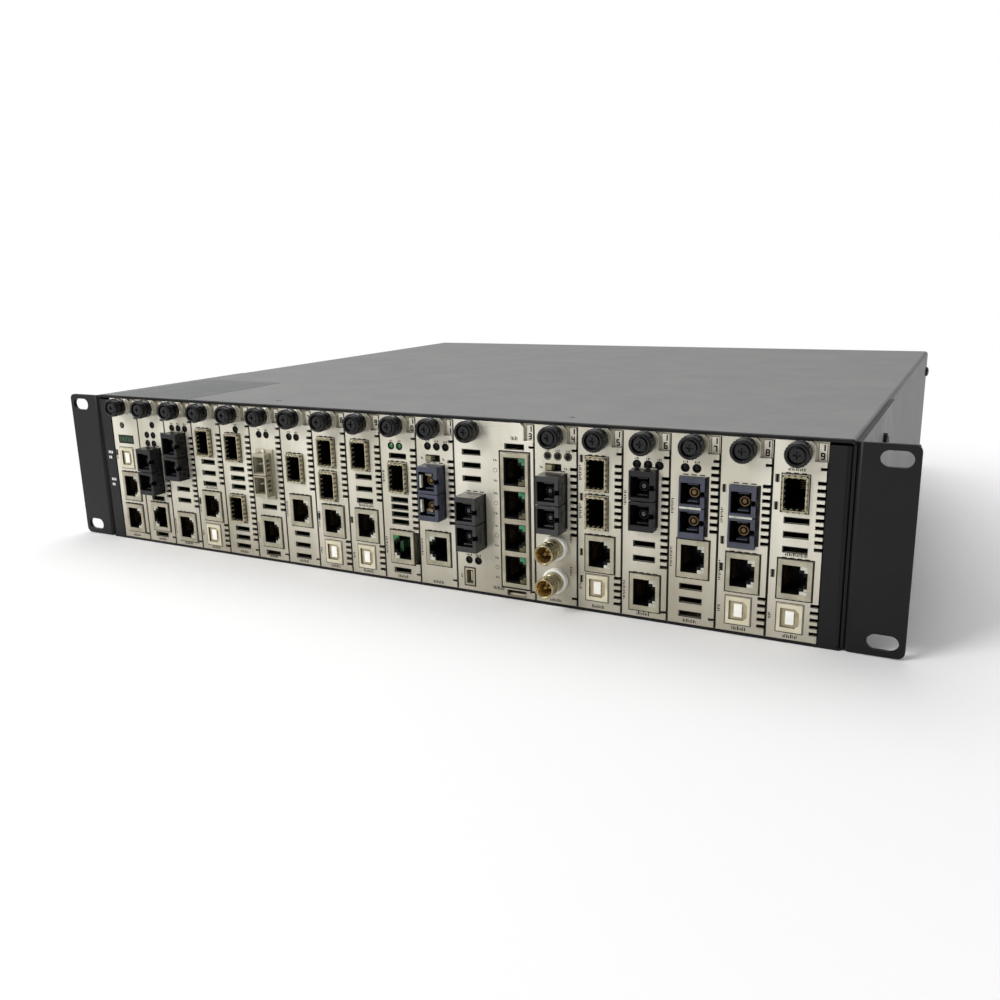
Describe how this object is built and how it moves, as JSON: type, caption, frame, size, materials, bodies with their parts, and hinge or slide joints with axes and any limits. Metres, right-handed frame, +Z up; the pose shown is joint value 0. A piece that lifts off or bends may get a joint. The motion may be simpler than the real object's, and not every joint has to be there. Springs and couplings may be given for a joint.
{
  "type": "media converter chassis",
  "caption": "Two-unit rack chassis for slide-in media converter cards, each with a thumbscrew and fibre, copper or serial sockets, over a backplane and slide-out power supplies.",
  "frame": {"origin": "middle of the front edge of the underside, where the front face meets the bottom", "axes": "+X to the right seen from the front, +Y to the rear, +Z up; the front faces -Y"},
  "size_m": [0.4826, 0.4347, 0.0889],
  "materials": {
    "body_sheet": "fine-textured black powder coat",
    "cover_sheet": "satin dark grey powder coat",
    "ear_sheet": "fine-textured black powder coat",
    "rail_metal": "satin nickel plate",
    "faceplate_nickel": "warm satin nickel plate",
    "knob_plastic": "moulded black, slightly glossy",
    "guide_plastic": "moulded black",
    "circuit_board": "green solder mask",
    "supply_steel": "zinc-plated sheet",
    "switch_plastic": "moulded black",
    "slider_plastic": "moulded off-white",
    "screw_steel": "black oxide",
    "stud_brass": "plated"
  },
  "bodies": {
    "chassis": {"base_pan": "body_sheet", "top_cover": "cover_sheet", "rear_panel": "body_sheet", "rack_ear_left": "ear_sheet", "rack_ear_right": "ear_sheet", "slot_rail_upper": "rail_metal", "slot_rail_lower": "rail_metal", "card_guides_upper": "guide_plastic", "card_guides_lower": "guide_plastic", "bulkhead": "rail_metal", "backplane_board": "circuit_board", "backplane_connectors": "guide_plastic", "chassis_screws": "screw_steel", "ground_stud": "stud_brass"},
    "slot_01_card": {"slot_01_card": "faceplate_nickel"},
    "slot_01_thumbscrew": {"slot_01_thumbscrew": "knob_plastic"},
    "slot_02_card": {"slot_02_card": "faceplate_nickel"},
    "slot_02_thumbscrew": {"slot_02_thumbscrew": "knob_plastic"},
    "slot_03_card": {"slot_03_card": "faceplate_nickel"},
    "slot_03_thumbscrew": {"slot_03_thumbscrew": "knob_plastic"},
    "slot_04_card": {"slot_04_card": "faceplate_nickel"},
    "slot_04_thumbscrew": {"slot_04_thumbscrew": "knob_plastic"},
    "slot_05_card": {"slot_05_card": "faceplate_nickel"},
    "slot_05_thumbscrew": {"slot_05_thumbscrew": "knob_plastic"},
    "slot_06_card": {"slot_06_card": "faceplate_nickel"},
    "slot_06_thumbscrew": {"slot_06_thumbscrew": "knob_plastic"},
    "slot_07_card": {"slot_07_card": "faceplate_nickel"},
    "slot_07_thumbscrew": {"slot_07_thumbscrew": "knob_plastic"},
    "slot_08_card": {"slot_08_card": "faceplate_nickel"},
    "slot_08_thumbscrew": {"slot_08_thumbscrew": "knob_plastic"},
    "slot_09_card": {"slot_09_card": "faceplate_nickel"},
    "slot_09_thumbscrew": {"slot_09_thumbscrew": "knob_plastic"},
    "slot_10_card": {"slot_10_card": "faceplate_nickel"},
    "slot_10_thumbscrew": {"slot_10_thumbscrew": "knob_plastic"},
    "slot_11_card": {"slot_11_card": "faceplate_nickel"},
    "slot_11_thumbscrew": {"slot_11_thumbscrew": "knob_plastic"},
    "slot_12_card": {"slot_12_card": "faceplate_nickel"},
    "slot_12_thumbscrew": {"slot_12_thumbscrew": "knob_plastic"},
    "slot_14_card": {"slot_14_card": "faceplate_nickel"},
    "slot_14_thumbscrew": {"slot_14_thumbscrew": "knob_plastic"},
    "slot_15_card": {"slot_15_card": "faceplate_nickel"},
    "slot_15_thumbscrew": {"slot_15_thumbscrew": "knob_plastic"},
    "slot_16_card": {"slot_16_card": "faceplate_nickel"},
    "slot_16_thumbscrew": {"slot_16_thumbscrew": "knob_plastic"},
    "slot_17_card": {"slot_17_card": "faceplate_nickel"},
    "slot_17_thumbscrew": {"slot_17_thumbscrew": "knob_plastic"},
    "slot_18_card": {"slot_18_card": "faceplate_nickel"},
    "slot_18_thumbscrew": {"slot_18_thumbscrew": "knob_plastic"},
    "slot_19_card": {"slot_19_card": "faceplate_nickel"},
    "slot_19_thumbscrew": {"slot_19_thumbscrew": "knob_plastic"},
    "slot_11_slide_switch": {"slot_11_slide_switch": "slider_plastic"},
    "slot_14_slide_switch": {"slot_14_slide_switch": "slider_plastic"},
    "psu_left_supply": {"psu_left_case": "supply_steel", "psu_left_board": "circuit_board"},
    "psu_left_fan_rotor": {"psu_left_fan_rotor": "guide_plastic"},
    "psu_left_switch": {"psu_left_switch": "switch_plastic"},
    "psu_right_supply": {"psu_right_case": "supply_steel", "psu_right_board": "circuit_board"},
    "psu_right_fan_rotor": {"psu_right_fan_rotor": "guide_plastic"},
    "psu_right_switch": {"psu_right_switch": "switch_plastic"}
  },
  "joints": [
    {"name": "psu_left_slide", "type": "slide", "parent": "chassis", "child": "psu_left_supply", "axis": [0, 1, 0], "range_m": [0, 0.22]},
    {"name": "psu_left_fan_spin", "type": "hinge", "parent": "psu_left_supply", "child": "psu_left_fan_rotor", "pos_m": [-0.1713, 0.3985, 0.04445], "axis": [0, 1, 0], "continuous": true},
    {"name": "psu_left_switch_rock", "type": "hinge", "parent": "psu_left_supply", "child": "psu_left_switch", "pos_m": [-0.0442, 0.4075, 0.04445], "axis": [1, 0, 0], "range_deg": [-14, 0]},
    {"name": "psu_right_slide", "type": "slide", "parent": "chassis", "child": "psu_right_supply", "axis": [0, 1, 0], "range_m": [0, 0.22]},
    {"name": "psu_right_fan_spin", "type": "hinge", "parent": "psu_right_supply", "child": "psu_right_fan_rotor", "pos_m": [0.0483, 0.3985, 0.04445], "axis": [0, 1, 0], "continuous": true},
    {"name": "psu_right_switch_rock", "type": "hinge", "parent": "psu_right_supply", "child": "psu_right_switch", "pos_m": [0.1754, 0.4075, 0.04445], "axis": [1, 0, 0], "range_deg": [-14, 0]},
    {"name": "slot_11_slide_switch_slide", "type": "slide", "parent": "slot_11_card", "child": "slot_11_slide_switch", "axis": [1, 0, 0], "range_m": [0, 0.004]},
    {"name": "slot_14_slide_switch_slide", "type": "slide", "parent": "slot_14_card", "child": "slot_14_slide_switch", "axis": [1, 0, 0], "range_m": [0, 0.004]},
    {"name": "slot_01_card_slide", "type": "slide", "parent": "chassis", "child": "slot_01_card", "axis": [0, -1, 0], "range_m": [0, 0.175]},
    {"name": "slot_02_card_slide", "type": "slide", "parent": "chassis", "child": "slot_02_card", "axis": [0, -1, 0], "range_m": [0, 0.175]},
    {"name": "slot_03_card_slide", "type": "slide", "parent": "chassis", "child": "slot_03_card", "axis": [0, -1, 0], "range_m": [0, 0.175]},
    {"name": "slot_04_card_slide", "type": "slide", "parent": "chassis", "child": "slot_04_card", "axis": [0, -1, 0], "range_m": [0, 0.175]},
    {"name": "slot_05_card_slide", "type": "slide", "parent": "chassis", "child": "slot_05_card", "axis": [0, -1, 0], "range_m": [0, 0.175]},
    {"name": "slot_06_card_slide", "type": "slide", "parent": "chassis", "child": "slot_06_card", "axis": [0, -1, 0], "range_m": [0, 0.175]},
    {"name": "slot_07_card_slide", "type": "slide", "parent": "chassis", "child": "slot_07_card", "axis": [0, -1, 0], "range_m": [0, 0.175]},
    {"name": "slot_08_card_slide", "type": "slide", "parent": "chassis", "child": "slot_08_card", "axis": [0, -1, 0], "range_m": [0, 0.175]},
    {"name": "slot_09_card_slide", "type": "slide", "parent": "chassis", "child": "slot_09_card", "axis": [0, -1, 0], "range_m": [0, 0.175]},
    {"name": "slot_10_card_slide", "type": "slide", "parent": "chassis", "child": "slot_10_card", "axis": [0, -1, 0], "range_m": [0, 0.175]},
    {"name": "slot_11_card_slide", "type": "slide", "parent": "chassis", "child": "slot_11_card", "axis": [0, -1, 0], "range_m": [0, 0.175]},
    {"name": "slot_12_card_slide", "type": "slide", "parent": "chassis", "child": "slot_12_card", "axis": [0, -1, 0], "range_m": [0, 0.175]},
    {"name": "slot_14_card_slide", "type": "slide", "parent": "chassis", "child": "slot_14_card", "axis": [0, -1, 0], "range_m": [0, 0.175]},
    {"name": "slot_15_card_slide", "type": "slide", "parent": "chassis", "child": "slot_15_card", "axis": [0, -1, 0], "range_m": [0, 0.175]},
    {"name": "slot_16_card_slide", "type": "slide", "parent": "chassis", "child": "slot_16_card", "axis": [0, -1, 0], "range_m": [0, 0.175]},
    {"name": "slot_17_card_slide", "type": "slide", "parent": "chassis", "child": "slot_17_card", "axis": [0, -1, 0], "range_m": [0, 0.175]},
    {"name": "slot_18_card_slide", "type": "slide", "parent": "chassis", "child": "slot_18_card", "axis": [0, -1, 0], "range_m": [0, 0.175]},
    {"name": "slot_19_card_slide", "type": "slide", "parent": "chassis", "child": "slot_19_card", "axis": [0, -1, 0], "range_m": [0, 0.175]},
    {"name": "slot_01_thumbscrew_turn", "type": "hinge", "parent": "slot_01_card", "child": "slot_01_thumbscrew", "pos_m": [-0.196, -0.005, 0.083], "axis": [0, 1, 0], "continuous": true},
    {"name": "slot_02_thumbscrew_turn", "type": "hinge", "parent": "slot_02_card", "child": "slot_02_thumbscrew", "pos_m": [-0.1742, -0.005, 0.083], "axis": [0, 1, 0], "continuous": true},
    {"name": "slot_03_thumbscrew_turn", "type": "hinge", "parent": "slot_03_card", "child": "slot_03_thumbscrew", "pos_m": [-0.1524, -0.005, 0.083], "axis": [0, 1, 0], "continuous": true},
    {"name": "slot_04_thumbscrew_turn", "type": "hinge", "parent": "slot_04_card", "child": "slot_04_thumbscrew", "pos_m": [-0.1306, -0.005, 0.083], "axis": [0, 1, 0], "continuous": true},
    {"name": "slot_05_thumbscrew_turn", "type": "hinge", "parent": "slot_05_card", "child": "slot_05_thumbscrew", "pos_m": [-0.1088, -0.005, 0.083], "axis": [0, 1, 0], "continuous": true},
    {"name": "slot_06_thumbscrew_turn", "type": "hinge", "parent": "slot_06_card", "child": "slot_06_thumbscrew", "pos_m": [-0.087, -0.005, 0.083], "axis": [0, 1, 0], "continuous": true},
    {"name": "slot_07_thumbscrew_turn", "type": "hinge", "parent": "slot_07_card", "child": "slot_07_thumbscrew", "pos_m": [-0.0652, -0.005, 0.083], "axis": [0, 1, 0], "continuous": true},
    {"name": "slot_08_thumbscrew_turn", "type": "hinge", "parent": "slot_08_card", "child": "slot_08_thumbscrew", "pos_m": [-0.0434, -0.005, 0.083], "axis": [0, 1, 0], "continuous": true},
    {"name": "slot_09_thumbscrew_turn", "type": "hinge", "parent": "slot_09_card", "child": "slot_09_thumbscrew", "pos_m": [-0.0216, -0.005, 0.083], "axis": [0, 1, 0], "continuous": true},
    {"name": "slot_10_thumbscrew_turn", "type": "hinge", "parent": "slot_10_card", "child": "slot_10_thumbscrew", "pos_m": [0.0002, -0.005, 0.083], "axis": [0, 1, 0], "continuous": true},
    {"name": "slot_11_thumbscrew_turn", "type": "hinge", "parent": "slot_11_card", "child": "slot_11_thumbscrew", "pos_m": [0.022, -0.005, 0.083], "axis": [0, 1, 0], "continuous": true},
    {"name": "slot_12_thumbscrew_turn", "type": "hinge", "parent": "slot_12_card", "child": "slot_12_thumbscrew", "pos_m": [0.0438, -0.005, 0.083], "axis": [0, 1, 0], "continuous": true},
    {"name": "slot_14_thumbscrew_turn", "type": "hinge", "parent": "slot_14_card", "child": "slot_14_thumbscrew", "pos_m": [0.0874, -0.005, 0.083], "axis": [0, 1, 0], "continuous": true},
    {"name": "slot_15_thumbscrew_turn", "type": "hinge", "parent": "slot_15_card", "child": "slot_15_thumbscrew", "pos_m": [0.1092, -0.005, 0.083], "axis": [0, 1, 0], "continuous": true},
    {"name": "slot_16_thumbscrew_turn", "type": "hinge", "parent": "slot_16_card", "child": "slot_16_thumbscrew", "pos_m": [0.131, -0.005, 0.083], "axis": [0, 1, 0], "continuous": true},
    {"name": "slot_17_thumbscrew_turn", "type": "hinge", "parent": "slot_17_card", "child": "slot_17_thumbscrew", "pos_m": [0.1528, -0.005, 0.083], "axis": [0, 1, 0], "continuous": true},
    {"name": "slot_18_thumbscrew_turn", "type": "hinge", "parent": "slot_18_card", "child": "slot_18_thumbscrew", "pos_m": [0.1746, -0.005, 0.083], "axis": [0, 1, 0], "continuous": true},
    {"name": "slot_19_thumbscrew_turn", "type": "hinge", "parent": "slot_19_card", "child": "slot_19_thumbscrew", "pos_m": [0.1964, -0.005, 0.083], "axis": [0, 1, 0], "continuous": true}
  ]
}
